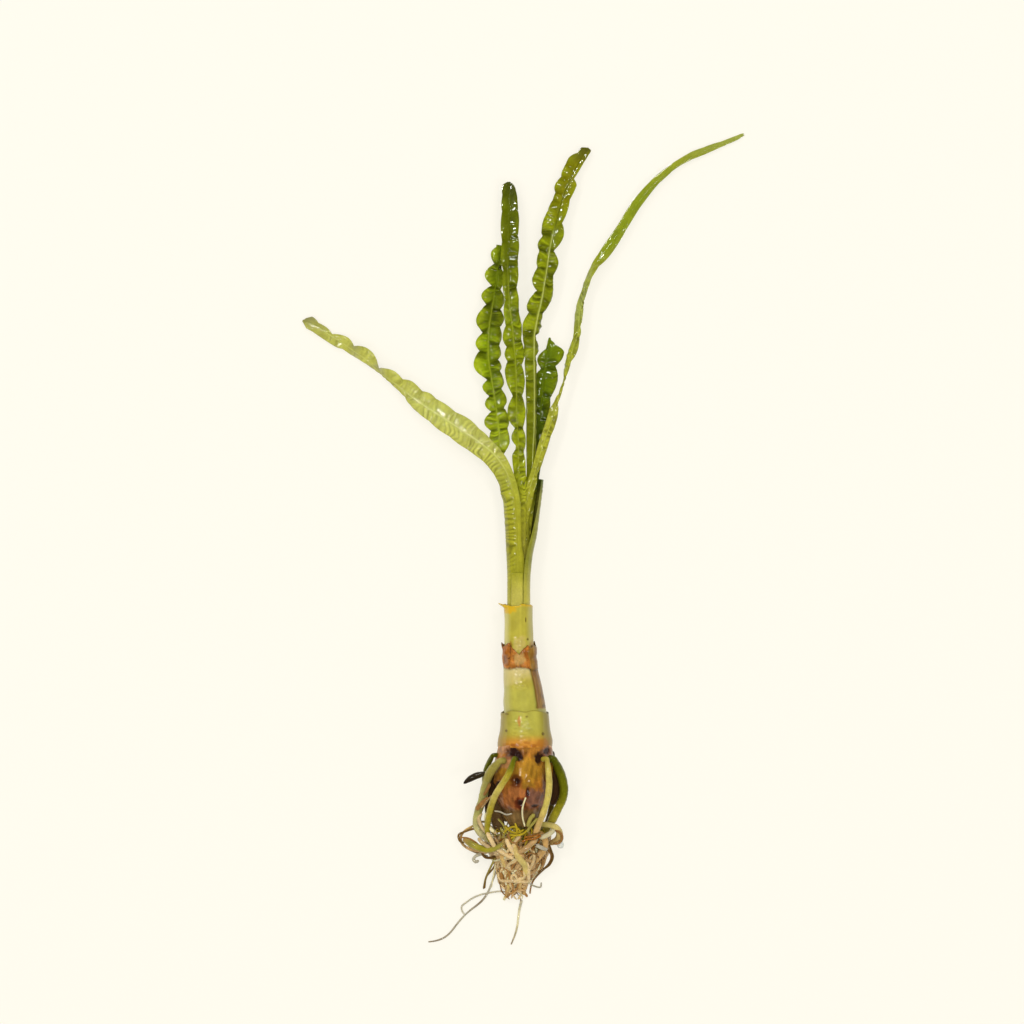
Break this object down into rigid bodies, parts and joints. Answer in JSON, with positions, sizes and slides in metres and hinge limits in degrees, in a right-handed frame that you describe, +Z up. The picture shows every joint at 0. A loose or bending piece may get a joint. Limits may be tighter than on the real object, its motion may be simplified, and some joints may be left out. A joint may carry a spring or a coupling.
{
  "type": "aquarium crinum",
  "caption": "Crinum bulb plant for aquariums, lifted bare-rooted and lying on its side, with a sheathed false stem, long ruffled leaves and a tangle of roots.",
  "frame": {"origin": "on the surface the plant lies on, under the middle of its length and width", "axes": "+Y along the plant from its roots to its leaf tips, +Z up from the surface, +X to the right as seen from above"},
  "size_m": [0.1632, 0.2998, 0.0255],
  "materials": {
    "leaf_pale": "wet yellow-green leaf, wrinkled across",
    "leaf_dark": "wet dark green leaf, wrinkled across",
    "leaf_mid": "wet olive green leaf, wrinkled across",
    "sheath_pale": "wet pale yellow leaf base with fine lines along it",
    "sheath_green": "wet olive leaf base with fine lines along it",
    "sheath_tan": "wet tan leaf base, brown and torn at its rim",
    "bulb_skin": "damp orange-brown bulb with dark root scars",
    "root_green": "damp olive green root",
    "root_cream": "damp cream root",
    "root_tan": "damp tan root",
    "root_thin": "fine grey-tan root",
    "root_dead": "dead black-brown root"
  },
  "bodies": {
    "root": {"bulb": "bulb_skin", "sheath_lower": "sheath_green", "sheath_middle": "sheath_tan", "sheath_upper": "sheath_pale", "leaf_left": "leaf_pale", "leaf_upright": "leaf_dark", "leaf_centre": "leaf_mid", "leaf_arching": "leaf_mid", "leaf_right": "leaf_mid", "leaf_short": "leaf_dark", "leaf_cut": "leaf_dark", "leaf_stump": "sheath_pale", "root_left_outer": "root_green", "root_left": "root_green", "root_front_left": "root_cream", "root_front_right": "root_cream", "root_right_outer": "root_green", "root_under_right": "root_green", "root_dead": "root_dead", "root_curl_middle": "root_cream", "root_curl_left": "root_tan", "root_curl_right": "root_tan", "root_loop_right": "root_tan", "root_knob_left": "root_green", "root_loop_left": "root_tan", "root_low": "root_tan", "root_long": "root_thin", "root_tail": "root_thin", "root_right_thin": "root_thin", "root_left_thin": "root_thin"}
  },
  "joints": []
}
